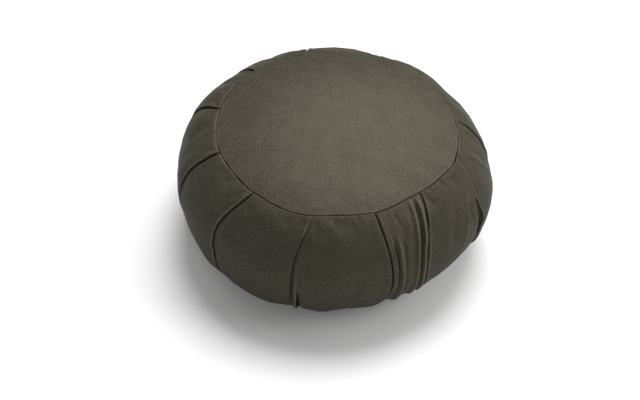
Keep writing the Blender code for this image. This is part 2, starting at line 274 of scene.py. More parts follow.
# %% Where the pleats run
PLEATS = (
    # angle at the seam, belly lean, foot lean, share where it leans most, side that the lip faces (1 is
    # anticlockwise), section, how far it stands open at the seam, at the shoulder, at the belly, at the foot
    (-159.5, -5.0, -4.0, 0.40, 1, "knife", 1.15, 1.25, 1.25, 1.10),
    (-128.5, -7.5, -6.5, 0.40, 1, "knife", 0.95, 0.95, 0.90, 0.90),
    (-98.0, -4.7, -5.9, 0.40, 1, "creased", 0.15, 0.50, 1.15, 1.80),
    (-16.6, -3.9, 0.0, 0.22, -1, "hanging", 0.00, -0.90, 0.90, 1.70),
    (10.8, -5.8, -4.0, 0.40, 1, "gaping", 0.00, 1.30, 1.30, 0.90),
    (38.0, -3.0, -1.5, 0.40, 1, "knife", 0.60, 0.70, 0.80, 0.80),
    (72.0, -4.0, -3.0, 0.40, 1, "knife", 0.70, 0.75, 0.80, 0.80),
    (106.0, -3.5, -4.0, 0.40, 1, "knife", 0.40, 0.50, 0.90, 0.90),
    (136.5, 0.8, -3.0, 0.20, 1, "knife", 1.15, 1.25, 1.00, 0.90),
    (169.0, -4.5, -1.0, 0.22, 1, "knife", 1.15, 1.30, 1.25, 1.00),
)
LEAN_POWER = 1.3


def pleat_angle(row, share):
    """A pleat leans over towards the belly and comes partly back at the foot."""
    seam, belly, foot, most = row[:4]
    leaning = seam + belly * np.sin(math.pi / 2 * np.clip(share / most, 0, 1)) ** LEAN_POWER
    down = np.clip((share - most) / (1 - most), 0, 1)
    returning = seam + foot + (belly - foot) * np.cos(math.pi / 2 * down) ** 2
    return np.where(share < most, leaning, returning)


belly_angles = [round(float(pleat_angle(row, BELLY_SHARE))) for row in PLEATS]
print(len(PLEATS), "pleats; at the belly they stand at", belly_angles)

# %% [markdown]
# A knife pleat is cloth folded back on itself. From outside it shows a thin lip, a dark line beside it, and an
# under-layer that comes out from beneath. A groove cut into the surface would look pressed in, so each pleat here is
# one real back-and-forth section. Four of them are enough: a plain knife pleat, one that gapes where the fill pulls
# it open, one whose upper layer hangs over a wide valley, and one that is pressed as flat as a crease.

# %% The sections of a pleat
def in_mm(*rows):
    """Rows of lengths given in millimetres, as metres."""
    return tuple(tuple(length * MM for length in row) for row in rows)


SECTIONS = {
    "knife": in_mm(
        # across and lift of each corner: the over-layer, its lip, the fold underneath, the under-layer
        (-15, 0), (-10, 0.1), (-6, 0.25), (-3.4, 0.48), (-2, 0.86), (-1.1, 1.02), (-0.4, 0.8), (0, 0.25),
        (0, -0.3), (-0.3, -0.75), (-1.1, -1.05), (-2.3, -1.2), (-3.5, -1.5), (-3.9, -2.05), (-3.2, -2.6),
        (-1.6, -2.8), (0, -2.65), (1.1, -2.1), (1.8, -1.25), (2.8, -0.62), (4.6, -0.28), (8, -0.08), (15, 0),
    ),
    "gaping": in_mm(
        # the far wall stands steep where the fill pulls the fold open
        (-15, 0), (-9, 0.15), (-5, 0.45), (-2.6, 0.72), (-1.2, 0.74), (-0.4, 0.5), (0, 0), (-0.2, -0.8),
        (-1.2, -1.6), (-1.6, -2.6), (-0.6, -3.3), (1, -3.5), (2.3, -3.2), (2.9, -2), (3.1, -0.8), (3.5, 0.1),
        (4.6, 0.45), (7, 0.4), (10, 0.15), (15, 0),
    ),
    "hanging": in_mm(
        # the over-layer hangs over a wide valley
        (-15, 0), (-9, 0.2), (-5, 0.5), (-2.4, 0.85), (-1.1, 0.95), (-0.3, 0.7), (0, 0.1), (-0.2, -0.8),
        (-0.9, -2), (-1.4, -3.4), (-0.8, -4.6), (0.8, -5.2), (2.6, -5), (5, -4), (7.6, -2.5), (10, -1.2),
        (12.5, -0.35), (15, 0),
    ),
    "creased": in_mm(
        # a flat lip close over a narrow slot
        (-15, 0), (-8, 0.06), (-4, 0.2), (-2, 0.38), (-1, 0.44), (-0.4, 0.32), (0, 0), (0, -0.6), (-0.2, -1.3),
        (-0.5, -2), (-0.4, -2.7), (0.2, -2.9), (0.7, -2.5), (0.9, -1.6), (1.1, -0.75), (1.7, -0.28), (3.2, -0.12),
        (8, -0.03), (15, 0),
    ),
}
PLEAT_STEPS = 40
STEPS_A_CORNER = 12


def through(a, b, c, d, t):
    """A smooth curve from b to c, with t from 0 to 1, that heads in from a and on to d."""
    return (2 * b + (c - a) * t + (2 * a - 5 * b + 4 * c - d) * t**2 + (3 * b - a - 3 * c + d) * t**3) / 2


def smooth_line(points, steps):
    """Points spaced evenly along a smooth curve through the given ones; it stops just short of the last one."""
    points = np.array(points, float)
    ends = np.concatenate([points[:1], points, points[-1:]])
    parts = np.linspace(0, len(points) - 1.0001, STEPS_A_CORNER * len(points))
    fine = np.array([through(*ends[int(part) : int(part) + 4], part % 1) for part in parts])
    run = running(np.linalg.norm(np.diff(fine, axis=0), axis=1))
    even = np.linspace(0, run[-1], steps)
    return np.stack([np.interp(even, run, fine[:, axis]) for axis in range(fine.shape[1])], -1)


def mirrored(section):
    """A section whose lip faces the other way."""
    return tuple((-across, lift) for across, lift in reversed(section))


print(len(SECTIONS), "sections, each drawn with", PLEAT_STEPS, "columns")

# %% [markdown]
# The carry handle is a doubled strip whose ends are caught in both seams. It lies in a shallow trough of the band,
# gathered a little at the belly. The trough could be cut out of the finished band, but its two edges are lines down
# the side just as the pleats are, so they share the same tools.

# %% The handle's place
STRAP_MIDDLE = -57.0
STRAP_HALF_WIDTH = 12.5
STRAP_GATHER = 5.8
GATHER_POWER = 1.2
STRAP_LEAN = 2.3
STRAP_REACH = 0.12
TROUGH_DEPTH = 4 * MM
TROUGH_END_DEPTH = 2.1 * MM
LEFT_TROUGH = in_mm(
    # across and lift, from the panel down under the handle
    (-15, 0), (-11, 0.1), (-7.5, 0.2), (-4.5, 0.25), (-2.9, 0.1), (-2.1, -0.4), (-1.7, -1.2), (-1.5, -2.4),
    (-1.2, -4.6), (0.2, -6.2), (2, -6.2), (5, -6.2),
)
RIGHT_TROUGH = in_mm(
    # across and lift, from under the handle up to the panel
    (-5, -6.2), (-2, -6.2), (-0.2, -6.2), (0.5, -4.6), (0.8, -2.4), (0.9, -1), (1.1, 0.2), (1.6, 0.75),
    (2.4, 0.85), (3.6, 0.55), (6, 0.3), (10, 0.15), (15, 0),
)
TROUGH_STEPS = 22


def end_fade(share, reach):
    """0 at both seams, rising to 1 within the reach."""
    return np.sin(math.pi / 2 * np.clip(np.minimum(share, 1 - share) / reach, 0, 1))


def strap_edge(share, side):
    """The angle of the strap's edge: side is -1 for the left one and 1 for the right one."""
    slack = np.sin(math.pi * share)
    half_width = STRAP_HALF_WIDTH - STRAP_GATHER * slack**GATHER_POWER
    return STRAP_MIDDLE - STRAP_LEAN * slack + side * half_width


def trough_depth(share):
    """How far the handle's trough lies below the round form."""
    return TROUGH_END_DEPTH + (TROUGH_DEPTH - TROUGH_END_DEPTH) * end_fade(share, STRAP_REACH)


for where, share in (("seam", 0.0), ("belly", BELLY_SHARE)):
    print("the handle spans", round(float(strap_edge(share, 1) - strap_edge(share, -1)), 1), "degrees at the", where)

# %% [markdown]
# Each pleat stands open by its own amount: tight at the seam, and wider where the fill pulls at it. Scaling the whole
# section would thin the cloth's lip as well, so the lip and the groove beneath it each have a size of their own.

# %% How far a pleat stands open
OPENING_SHARES = (0.0, 0.18, 0.40, 1.0)
PLEAT_REACH = 0.08
PLEAT_END_PART = 0.3
SHUT_LIP = 0.15
NARROWEST = 0.35
WIDEST_OPENING = 1.25


def pleat_size(row, share):
    """The size of a pleat's lip and of its groove, and how wide the groove is."""
    held = PLEAT_END_PART + (1 - PLEAT_END_PART) * end_fade(share, PLEAT_REACH)
    opening = held * max(0.0, float(np.interp(share, OPENING_SHARES, row[6:10])))
    width = NARROWEST + (1 - NARROWEST) * min(opening, WIDEST_OPENING)
    return held * (SHUT_LIP + (1 - SHUT_LIP) * min(opening, 1)), opening, width


print("the first pleat's lip, groove and width at the belly:", np.round(pleat_size(PLEATS[0], BELLY_SHARE), 2))

# %% [markdown]
# One pleat ends above the foot, where a short second tuck takes over beside it. Fading one into the other would blur
# both, so the near part of the one section and the far part of the other run side by side, and each has a size that
# falls or rises on its own way down.

# %% The pleat that ends and its tuck
ENDING_SHARES = (0.65, 0.71)
TUCK_BESIDE = 2.5
TUCK_SHARES = (0.55, 0.61)
TUCK_REACH = 3.2 * MM
TUCK_LIP = 1.3


def eased(share, start, end):
    """0 before the start, 1 after the end, and a smooth rise between them."""
    along = np.clip((share - start) / (end - start), 0, 1)
    return along * along * (3 - 2 * along)


def ending_size(row, share):
    lip, opening, width = pleat_size(row, share)
    left = 1 - eased(share, *ENDING_SHARES)
    return lip * left, opening * left, width


def tuck_angle(row, share):
    return pleat_angle(row, share) + TUCK_BESIDE


def tuck_size(row, share):
    lip, opening, width = pleat_size(row, share)
    grown = eased(share, *TUCK_SHARES)
    return lip * grown * TUCK_LIP, opening * grown, width


def ending_parts():
    """The near part of the creased pleat's section, which ends, and the far part of the tuck's, which takes over."""
    ending, tuck = (smooth_line(SECTIONS[name], PLEAT_STEPS) for name in ("creased", "knife"))
    deepest, lowest = (int(np.argmin(section[:, 1])) for section in (ending, tuck))
    last = deepest + int(np.searchsorted(ending[deepest:, 0], TUCK_REACH))
    return ending[:last], tuck[int(np.searchsorted(tuck[:lowest, 0], -TUCK_REACH)) :]


print("columns of the ending pleat and of its tuck:", [len(part) for part in ending_parts()])

# %% [markdown]
# A fold line holds what is needed to draw any pleat, the tuck or an edge of the handle's trough: where it runs, its
# section, how large its lip and its groove are at each share, and whether the handle lies to its right. With one kind
# of line for all of them, the band can be built without asking which is which.

# %% The fold lines
from functools import partial
from typing import Callable, NamedTuple


class FoldLine(NamedTuple):
    angle: Callable
    section: np.ndarray
    size: Callable
    under_handle: bool


def trough_size(share):
    size = trough_depth(share) / TROUGH_DEPTH
    return size, size, 1.0


def fold_lines():
    """The pleats, the tuck and the two edges of the handle's trough, in order round the cushion."""
    lines = []
    for row in PLEATS:
        angle, section = partial(pleat_angle, row), SECTIONS[row[5]]
        if row[5] == "creased":
            ending, tuck = ending_parts()
            lines.append(FoldLine(angle, ending, partial(ending_size, row), False))
            lines.append(FoldLine(partial(tuck_angle, row), tuck, partial(tuck_size, row), False))
        else:
            section = smooth_line(section if row[4] > 0 else mirrored(section), PLEAT_STEPS)
            lines.append(FoldLine(angle, section, partial(pleat_size, row), False))
    for side, section, under in ((-1, LEFT_TROUGH, True), (1, RIGHT_TROUGH, False)):
        lines.append(FoldLine(partial(strap_edge, side=side), smooth_line(section, TROUGH_STEPS), trough_size, under))
    return sorted(lines, key=lambda line: line.angle(0.0))


LINES = fold_lines()


def shaped(line, share):
    """A line's section at one share: the lip and the groove each at the size that they have there."""
    lip, groove, width = line.size(share)
    across, lift = line.section.T
    under = lift < 0
    return np.where(under, across * width, across), np.where(under, lift * groove, lift * lip)


print(len(LINES), "fold lines")

# %% [markdown]
# Every column of the band belongs to a fold line or to the puffed cloth between two lines. An even grid would cut
# across the lips and blunt them. Sorting the lines by angle and filling the spaces between them gives a grid whose
# edges run exactly along every lip.

# %% The band's columns
COLUMNS_BETWEEN = 22
COLUMNS_UNDER_STRAP = 16
COLUMNS_BY_TUCK = 3
# how strongly a lip's crest is painted lighter as a highlight, by how tall the crest stands
CREST_HIGHLIGHT = ((0.3 * MM, 0.4 * MM), (0.0, 1.0))
FLAT_CREST = 0.5 * MM
SHUT_SHARES = (0.12, 0.2)


def columns_between(line, following):
    """How many columns fill the space between two lines."""
    if line.under_handle:
        return COLUMNS_UNDER_STRAP
    apart = (following.angle(0.0) - line.angle(0.0)) % 360
    return COLUMNS_BY_TUCK if apart < 2 * TUCK_BESIDE else COLUMNS_BETWEEN


def side_row(share):
    """One closed row of the band: for each column its angle, its lift, and the painted highlight on its lip's crest.
    """
    radius = side_radius(share)
    angles, lifts, lip_highlight = [], [], []
    for line, following in zip(LINES, LINES[1:] + LINES[:1]):
        turn = 360 if following is LINES[0] else 0
        across, lift = shaped(line, share)
        next_across, next_lift = shaped(following, share)
        start = line.angle(share) + math.degrees(across[-1] / radius)
        end = following.angle(share) + turn + math.degrees(next_across[0] / radius)
        count = columns_between(line, following)
        between = start + (end - start) * np.arange(1, count + 1) / (count + 1)
        angles += [line.angle(share) + np.degrees(across / radius), between]
        lifts += [lift, np.linspace(lift[-1], next_lift[0], count + 2)[1:-1]]
        crest = line.section[:, 1].max()
        # the crest of each lip is painted lighter as a highlight; on a flat crest the painted highlight fades out
        # below the shut part near the seam
        rub_and_highlight = np.clip(2 * line.section[:, 1] / crest - 1, 0, 1) ** 2 * np.interp(crest, *CREST_HIGHLIGHT)
        if crest < FLAT_CREST:
            rub_and_highlight = rub_and_highlight * (1 - eased(share, *SHUT_SHARES))
        lip_highlight += [rub_and_highlight, np.zeros(count)]
    return np.concatenate(angles), np.concatenate(lifts), np.concatenate(lip_highlight)


print(len(side_row(0.5)[0]), "columns round the band")

# %% [markdown]
# Cloth is never as smooth as a formula. Sums of long waves give the lumps of the fill, and short waves running round
# the cushion give the puckers that a seam draws into the cloth. A noise texture could do this, but waves with whole
# numbers of turns meet themselves after one round, so the ring closes without a step. Each wave's direction, length
# and start come from a seeded generator, so that every run makes the same cushion.

# %% Lumps and puckers
LUMP_WAVES = 14
LENGTH_RANGE = (0.7, 1.5)
PUCKER_SEED = 23
PUCKER_WAVES = 12
SEAM_TURNS = (14, 34)


def lumps(points, rows):
    """The height, at points in space, of lumps whose rows give a height in mm, a wavelength in mm and a seed."""
    total = np.zeros(points.shape[:-1])
    for height, wavelength, seed in rows:
        random = np.random.default_rng(seed)
        for _ in range(LUMP_WAVES):
            direction = random.normal(size=3)
            direction /= np.linalg.norm(direction)
            length = wavelength * MM * random.uniform(*LENGTH_RANGE)
            wave = np.sin(points @ direction * 2 * math.pi / length + random.uniform(0, 2 * math.pi))
            total += height * MM * wave / math.sqrt(LUMP_WAVES)
    return total


def puckers(degrees, turns_range, seed):
    """A random height round the ring, about -1 to 1, from waves with whole numbers of turns in a range."""
    random = np.random.default_rng(seed)
    turn = np.radians(degrees)
    height = np.zeros(np.shape(degrees))
    for turns in random.integers(*turns_range, PUCKER_WAVES):
        height += np.sin(turns * turn + random.uniform(0, 2 * math.pi))
    return height / math.sqrt(PUCKER_WAVES)


highest = float(puckers(np.arange(360), SEAM_TURNS, PUCKER_SEED).max())
print("a ring of puckers reaches", round(highest, 2), "times its height")

# %% [markdown]
# Where two cloths are sewn together, both roll over and dive into the seam. The roll is a quarter ellipse, so that
# the edge beside the seam is round and catches light, and the stitch line itself lies in a dark crease. A groove of
# one depth all round would look machined. Here the thread has pulled the seam in deeply along the front, and along
# the back the top's edge stands a little over the band's, so that from the front hardly a line shows there.

# %% The seams
# A painted highlight runs beside the seam: how far from it, how wide, and how strong.
HIGHLIGHT_FROM_SEAM = 1.2 * MM
HIGHLIGHT_WIDTH = 0.35 * MM
SEAM_HIGHLIGHT = 1.4
SEAM_DEPTH = 0.30 * MM
SEAM_DEPTH_BACK = 0.25 * MM
SEAM_DEPTH_FRONT = 4.2 * MM
DEEPEST_AT = -84.0
HIGHEST_AT = 83.0
SEAM_ROLL = 1.4 * MM
FRONT_SPREAD = (2.4, 0.4)
BACK_SPREAD = (3.0, 0.6)
NEAR_SEAM = (0.0, 0.06, 0.2, 0.4, 0.65, 0.9, 1.2, 1.8, 2.8, 4.2)
MIDDLE_ROWS = 108


def spread(degrees, middle, steepness, cut):
    """1 round a middle angle, easing to 0 on the far side."""
    return np.clip(steepness * np.cos(np.radians(degrees - middle)) - cut, 0, 1)


def seam_front(degrees):
    """1 along the front of the seam, where the thread has pulled it in, and 0 along the back."""
    return spread(degrees, DEEPEST_AT, *FRONT_SPREAD)


def seam_back(degrees):
    """1 along the back of the seam, where the top's edge stands over the band's, and 0 along the front."""
    return spread(degrees, HIGHEST_AT, *BACK_SPREAD)


def seam_depth(degrees):
    return SEAM_DEPTH + SEAM_DEPTH_BACK * seam_back(degrees) + SEAM_DEPTH_FRONT * seam_front(degrees)


def roll(distance, depth):
    """How far the cloth lies below its run at a distance from the seam; the tiny number keeps the root real."""
    inside = np.clip(1 - distance / SEAM_ROLL, 0, 1)
    return depth * (1 - np.sqrt(1 - inside**2 + 1e-9))


def seam_wear(distance):
    """A painted highlight along the rolled edge where the cloth turns into a seam."""
    return SEAM_HIGHLIGHT * math.exp(-(((distance - HIGHLIGHT_FROM_SEAM) / HIGHLIGHT_WIDTH) ** 2))


def rows_down(near_seam, middle_rows):
    """The shares of rows down the side, closer together near both seams, where the cloth rolls into them."""
    near = np.array(near_seam) * MM / SIDE_LENGTH
    return np.concatenate([near, np.linspace(near[-1], 1 - near[-1], middle_rows)[1:-1], 1 - near[::-1]])


SIDE_SHARES = rows_down(NEAR_SEAM, MIDDLE_ROWS)
deepest = round(float(seam_depth(DEEPEST_AT)) / MM, 1)
print(len(SIDE_SHARES), "rows down the side; the seam sinks by up to", deepest, "mm")

# %% [markdown]
# Some folds are no pleats: soft ridges and hollows that the fill and the stitching leave in this one cushion. A brush
# could sculpt them, but a table can be read again and set right. Each fold is a row of it, with its two ends, its
# height and its width, pressed into the surface with a rounded section.

# %% Soft folds of the side
SOFT_FOLDS = (
    # start angle, start share, end angle, end share, height in mm, half width in mm
    (-23.6, 0.14, -31.0, 0.48, -1.8, 2.6),
    (-25.2, 0.30, -25.6, 0.60, 1.2, 2.0),
    (-24.5, 0.14, -39.5, 0.60, 1.5, 4.2),
    (-33.0, 0.14, -43.5, 0.52, -1.2, 5.0),
    (-11.0, 0.02, -1.0, 0.42, 0.9, 2.6),
    (-7.0, 0.04, 2.5, 0.42, -1.0, 4.0),
    (-94.5, 0.05, -90.5, 0.20, -0.7, 4.5),
    (-91.5, 0.03, -87.0, 0.16, 0.6, 4.0),
    (-101.6, 0.55, -101.4, 0.66, 0.9, 2.6),
    (-170.0, 0.10, -172.0, 0.42, -0.5, 5.0),
    (-165.5, 0.12, -169.0, 0.45, 0.5, 5.0),
    (-142.0, 0.55, -140.0, 0.95, 0.8, 5.0),
    (-70.5, 0.45, -73.5, 0.80, -0.8, 5.0),
)
FOLD_POWER = 0.7


def soft_folds(share, degrees):
    """The summed height of the soft folds at places on the side."""
    height = np.zeros(np.shape(degrees))
    radius = side_radius(share)
    for a0, s0, a1, s1, tall, half_width in SOFT_FOLDS:
        along = np.clip((share - s0) / (s1 - s0), 0, 1)
        away = (degrees - (a0 + (a1 - a0) * along) + 180) % 360 - 180
        across = np.radians(away) * radius / (half_width * MM)
        height = height + tall * MM * np.sin(math.pi * along) ** FOLD_POWER * np.exp(-(across**2))
    return height


print(len(SOFT_FOLDS), "soft folds")

# %% [markdown]
# Rows of points become a mesh in one step: the same few lines serve the round pieces, whose rows close on
# themselves, and the handle, whose rows end at its two edges. Each point also gets its place on the flat cloth, so
# that the weave follows every fold, and a value that paints highlights on lip crests, seam edges and handle ridges
# and marks real wear where the bottom stands.

# %% From rows to a piece
def store(mesh, name, values):
    """A number or a place kept at each point of a mesh."""
    kind, field = ("FLOAT_VECTOR", "vector") if values.ndim > 1 else ("FLOAT", "value")
    mesh.attributes.new(name, kind, "POINT").data.foreach_set(field, values.astype("f4").ravel())


def new_piece(name, points, faces, weave, wear, material):
    """A smooth-shaded object with its place on the flat cloth, and its wear and painted highlight, stored at each
    point.
    """
    mesh = bpy.data.meshes.new(name)
    mesh.from_pydata(points.tolist(), [], faces)
    store(mesh, "weave", weave)
    store(mesh, "wear", wear)
    mesh.shade_smooth()
    mesh.materials.append(material)
    piece = bpy.data.objects.new(name, mesh)
    bpy.context.scene.collection.objects.link(piece)
    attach(piece, "root")
    print(name, len(mesh.polygons), "faces")
    return piece


def row_faces(rows, columns, closed):
    """The four-sided faces of a grid of points, numbered row by row."""
    row, column = np.meshgrid(np.arange(rows - 1), np.arange(columns if closed else columns - 1), indexing="ij")
    here, below, beside = row * columns, (row + 1) * columns, (column + 1) % columns
    return np.stack([here + column, below + column, below + beside, here + beside], -1).reshape(-1, 4)


def turned_faces(rows, columns):
    """A closed ring grid with a middle point at each end."""
    faces = row_faces(rows, columns, True).tolist()
    first, last = rows * columns, rows * columns + 1
    base = (rows - 1) * columns
    for column in range(columns):
        beside = (column + 1) % columns
        faces.append((first, column, beside))
        faces.append((last, base + beside, base + column))
    return faces


print("two closed rows of four points make", len(row_faces(2, 4, True)), "faces")

# %% [markdown]
# Between two fold lines the fill pushes the cloth out. A sine curve would give every panel the same even swell. A
# cloth simulation finds the swell that a sewn skin takes by itself. Here a net of springs starts a little smaller
# than the cushion, is held along its seams and fold lines, and is pumped up from inside: it bulges where a panel is
# wide and wrinkles where it is held. The net is coarse, because it has to carry the swell alone and not the folds.

# %% A net over the cushion
NET_STEP = 4.5 * MM
NET_ROWS = 37
NET_RINGS = 18
NET_MIDDLE = 0.1
PUFF = 2.6 * MM
PUFF_REACH = 0.35
PUFF_POWER = 0.8
WIDE_PANEL = 18.0
NET_LINES = [
    line for before, line in zip(LINES[-1:] + LINES, LINES) if columns_between(before, line) != COLUMNS_BY_TUCK
]
NET_STARTS = [line.angle(BELLY_SHARE) for line in NET_LINES]
NET_ENDS = NET_STARTS[1:] + [NET_STARTS[0] + 360]
NET_COUNTS = [round(math.radians(b - a) * BELLY_RADIUS / NET_STEP) for a, b in zip(NET_STARTS, NET_ENDS)]
NET_COLUMNS = sum(NET_COUNTS)


def net_angles(share):
    """The angle of every column of the net at one share, with the first repeated at the end."""
    starts = [line.angle(share) for line in NET_LINES]
    ends = starts[1:] + [starts[0] + 360]
    spaces = [np.linspace(a, b, count + 1)[:-1] for a, b, count in zip(starts, ends, NET_COUNTS)]
    return np.concatenate(spaces + [[starts[0] + 360]])


def even_swell(share):
    """A plain swell between the fold lines at one share, and which columns are held there."""
    swells, held = [], []
    for line, count, start, end in zip(NET_LINES, NET_COUNTS, NET_STARTS, NET_ENDS):
        along = np.sin(math.pi * np.arange(count) / count) ** PUFF_POWER
        wide = 0.0 if line.under_handle else min(1, (end - start) / WIDE_PANEL) ** 2
        swells.append(PUFF * end_fade(share, PUFF_REACH) * wide * along)
        held.append(swells[-1] <= 0)
    return np.concatenate(swells), np.concatenate(held)


def crown(part):
    """The height of the round top at a part of the way out to the seam."""
    return SEAM_HEIGHT + CROWN * (1 - part**2)


def net_rows():
    """The net's rows: points on the round form, which way is out, their first lift, and which are held."""
    rows = []
    rim = net_angles(0.0)[:-1]
    reach = sewn_radius(rim)
    up, free = np.tile((0.0, 0.0, 1.0), (NET_COLUMNS, 1)), np.zeros(NET_COLUMNS)
    for part in np.linspace(NET_MIDDLE, 1, NET_RINGS + 1)[:-1]:
        rows.append((round_points(reach * part, crown(part), rim), up, free, free > 0))
    for share in np.linspace(0, 1, NET_ROWS):
        angles = net_angles(share)[:-1]
        surface = side_point(share, angles, 0.0)
        first, held = even_swell(share)
        rows.append((surface, side_point(share, angles, 1.0) - surface, first, held))
    rows.append((round_points(FLAT_RADIUS, PANEL_CLOTH, net_angles(1.0)[:-1]), up, free, free == 0))
    return [np.array(part) for part in zip(*rows)]


print(NET_COLUMNS, "columns in the net")

# %% [markdown]
# The simulation itself takes twenty frames. Real fill presses outwards everywhere, so the net gets pressure and no
# weight, and one part in a hundred more cloth than the form needs, so that it can wrinkle a little.

# %% Pump up the skin
PRESSURE = 4.0
SPARE_CLOTH = 0.010
STRETCH_STIFFNESS = 30
BEND_STIFFNESS = 3
STEPS_A_FRAME = 6
LAST_FRAME = 20


def pumped(points, held):
    """The points of the net after the cloth simulation; the net itself is thrown away."""
    mesh = bpy.data.meshes.new("net")
    mesh.from_pydata(points.tolist(), [], turned_faces(len(points) // NET_COLUMNS, NET_COLUMNS))
    net = bpy.data.objects.new("net", mesh)
    bpy.context.scene.collection.objects.link(net)
    net.vertex_groups.new(name="held").add(np.flatnonzero(held).tolist(), 1.0, "ADD")
    cloth = net.modifiers.new("cloth", "CLOTH")
    cloth.point_cache.frame_end = LAST_FRAME
    cloth.settings.vertex_group_mass = "held"
    cloth.settings.quality = STEPS_A_FRAME
    cloth.settings.use_pressure = True
    cloth.settings.uniform_pressure_force = PRESSURE
    cloth.settings.tension_stiffness = cloth.settings.compression_stiffness = STRETCH_STIFFNESS
    cloth.settings.bending_stiffness = BEND_STIFFNESS
    cloth.settings.shrink_min = -SPARE_CLOTH
    cloth.settings.effector_weights.gravity = 0
    for step in range(1, LAST_FRAME + 1):
        bpy.context.scene.frame_set(step)
    moved = net.evaluated_get(bpy.context.evaluated_depsgraph_get()).to_mesh()
    result = np.empty(len(points) * 3, "f4")
    moved.vertices.foreach_get("co", result)
    bpy.data.objects.remove(net)
    bpy.context.scene.frame_set(1)
    return result.reshape(-1, 3).astype(float)


print("pressure", PRESSURE, "for", LAST_FRAME, "frames")

# %% [markdown]
# What the simulation finds is kept as two tables of lift, one for the top and one for the side, and the fine meshes
# below read them. Pumping up the fine meshes themselves would push the folds away from where they belong. The net's
# narrow faces near the middle of the top would add rays to it, so its short ripples are filtered out.

# %% The swell that is kept
START_PART = 0.7
SIDE_CAP = 3.6 * MM
TOP_CAP = 0.8 * MM
SHORTEST_RIPPLE = 28 * MM


def capped(lift, cap):
    """The lift, bent smoothly so that it stays under the cap."""
    return cap * np.tanh(lift / cap)


def calmed(rings):
    """The rings of the top without ripples that the narrow faces near its middle would add."""
    waves = np.fft.rfft(rings, axis=1)
    most_turns = 2 * math.pi * SEAM_RADIUS * np.linspace(NET_MIDDLE, 1, len(rings)) / SHORTEST_RIPPLE
    keep = np.exp(-((np.arange(waves.shape[1])[None, :] / most_turns[:, None]) ** 2))
    return np.fft.irfft(waves * keep, rings.shape[1], axis=1)


def swell_tables():
    """The lift of the pumped skin: on the top as ring by column, and on the side as row by column."""
    surface, out, lift, held = net_rows()
    first = surface + out * lift[..., None] * START_PART
    ends = np.array([(0, 0, crown(0)), (0, 0, PANEL_CLOTH)])
    moved = pumped(np.concatenate([first.reshape(-1, 3), ends]), np.append(held.ravel(), [False, True]))
    lift = ((moved[:-2].reshape(surface.shape) - surface) * out).sum(-1)
    top, side = calmed(lift[: NET_RINGS + 1]), lift[NET_RINGS : NET_RINGS + NET_ROWS]
    top, side = capped(top - top.mean(1, keepdims=True), TOP_CAP), capped(side, SIDE_CAP)
    return [np.concatenate([table, table[:, :1]], 1) for table in (top, side)]


TOP_SWELL, SIDE_SWELL = swell_tables()


def between(values, position):
    """A smooth curve through the rows of a table, read at fractional row numbers."""
    index = np.clip(np.floor(position).astype(int), 0, len(values) - 2)
    around = (values[np.clip(index + step, 0, len(values) - 1)] for step in (-1, 0, 1, 2))
    return through(*around, position - index)


def swell(table, part, share, degrees):
    """The lift at one row of a table, given as a part of its rows, for any angles."""
    angles = net_angles(share)
    turned = (degrees - angles[0]) % 360 + angles[0]
    columns = np.interp(turned, angles, np.arange(NET_COLUMNS + 1))
    return between(between(table, np.array(part * (len(table) - 1))), columns)


print("the side swells by up to", round(SIDE_SWELL.max() / MM, 2), "mm")

# %% [markdown]
# The cloth is a plain cotton twill in a dark olive brown. A picture of cloth could be wrapped round it, but nodes
# stay sharp at any distance. All of them read the flat-cloth places, so the weave bends with the folds instead of
# swimming through them. A small class keeps the wiring of the nodes short.

# %% Wiring a material
class Nodes:
    """A few short calls for wiring a material."""

    def __init__(self, material):
        material.use_nodes = True
        self.tree = material.node_tree
        self.shader = self.tree.nodes["Principled BSDF"]

    def add(self, kind, **settings):
        node = self.tree.nodes.new(kind)
        for name, value in settings.items():
            setattr(node, name, value)
        return node

    def wire(self, source, target):
        self.tree.links.new(source, target)

    def math(self, operation, first, second=0.0):
        node = self.add("ShaderNodeMath", operation=operation)
        for socket, value in zip(node.inputs, (first, second)):
            if isinstance(value, (int, float)):
                socket.default_value = value
            else:
                self.wire(value, socket)
        return node.outputs["Value"]

    def total(self, *weighted):
        """The sum of pairs of a value and its weight."""
        parts = [self.math("MULTIPLY", value, weight) for value, weight in weighted]
        result = parts[0]
        for part in parts[1:]:
            result = self.math("ADD", result, part)
        return result

    def noise(self, place, scale, detail=2.0, roughness=0.5):
        """Noise about zero, -0.5 to 0.5."""
        node = self.add("ShaderNodeTexNoise")
        node.inputs["Scale"].default_value = scale
        node.inputs["Detail"].default_value = detail
        node.inputs["Roughness"].default_value = roughness
        self.wire(place, node.inputs["Vector"])
        return self.math("SUBTRACT", node.outputs["Fac"], 0.5)

    def stretched(self, place, scale):
        node = self.add("ShaderNodeVectorMath", operation="MULTIPLY")
        self.wire(place, node.inputs[0])
        node.inputs[1].default_value = scale
        return node.outputs["Vector"]


print("short calls:", [name for name in vars(Nodes) if not name.startswith("_")])

# %% [markdown]
# Seen close, the twill has fine diagonal ribs. Threads of uneven thickness cross in both directions, and pale fibres
# fleck it, which gives the heathered look of the photograph. Dye takes a little unevenly over a hand's width. Lip
# crests, seam edges and handle ridges are painted lighter as highlights, the middle of the top gets a painted pool of
# light, and the bottom's standing ring is rubbed paler. Each of these is one noise, wave or stored value, added up
# into a single brightness for the olive colour.

# %% The twill
OLIVE = (0.0510, 0.0459, 0.0345)
GLEAM = (1.0, 0.94, 0.83)
GLEAM_LEVEL = 0.02
TWILL_PITCH = 1.1 * MM
RIB_WANDER = 5.0
# how many grains of each noise go to a metre
WANDER_SCALE = 260.0
WARP_STRETCH = (900.0, 160.0, 1.0)
WEFT_STRETCH = (150.0, 850.0, 1.0)
FIBRE_SCALE = 640.0
BLOTCH_SCALE = 45.0
RUB_AND_HIGHLIGHT_SCALE = 420.0
# how much each of these lightens the cloth
RIB_TONE = 0.03
